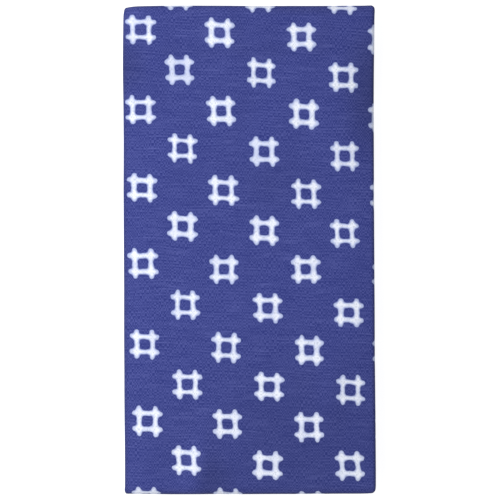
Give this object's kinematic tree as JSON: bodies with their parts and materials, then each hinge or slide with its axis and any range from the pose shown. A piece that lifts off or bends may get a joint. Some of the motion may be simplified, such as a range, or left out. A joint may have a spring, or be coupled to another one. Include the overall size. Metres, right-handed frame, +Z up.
{
  "type": "tenugui towel",
  "caption": "Thin cotton towel folded flat into a long narrow stack, indigo with a scattered repeat of small white well-curb crosses.",
  "frame": {"origin": "middle of the folded towel's own box, on the surface that the towel lies on", "axes": "+X across the towel, to the right as its printed face is seen, +Y along it towards the outer fold, +Z up out of the printed face"},
  "size_m": [0.1184, 0.2282, 0.0162],
  "materials": {
    "printed_cotton": "matte gauze weave, indigo with undyed white marks on the face and a pale fine pile on the back"
  },
  "bodies": {
    "root": {"towel": "printed_cotton"}
  },
  "joints": []
}
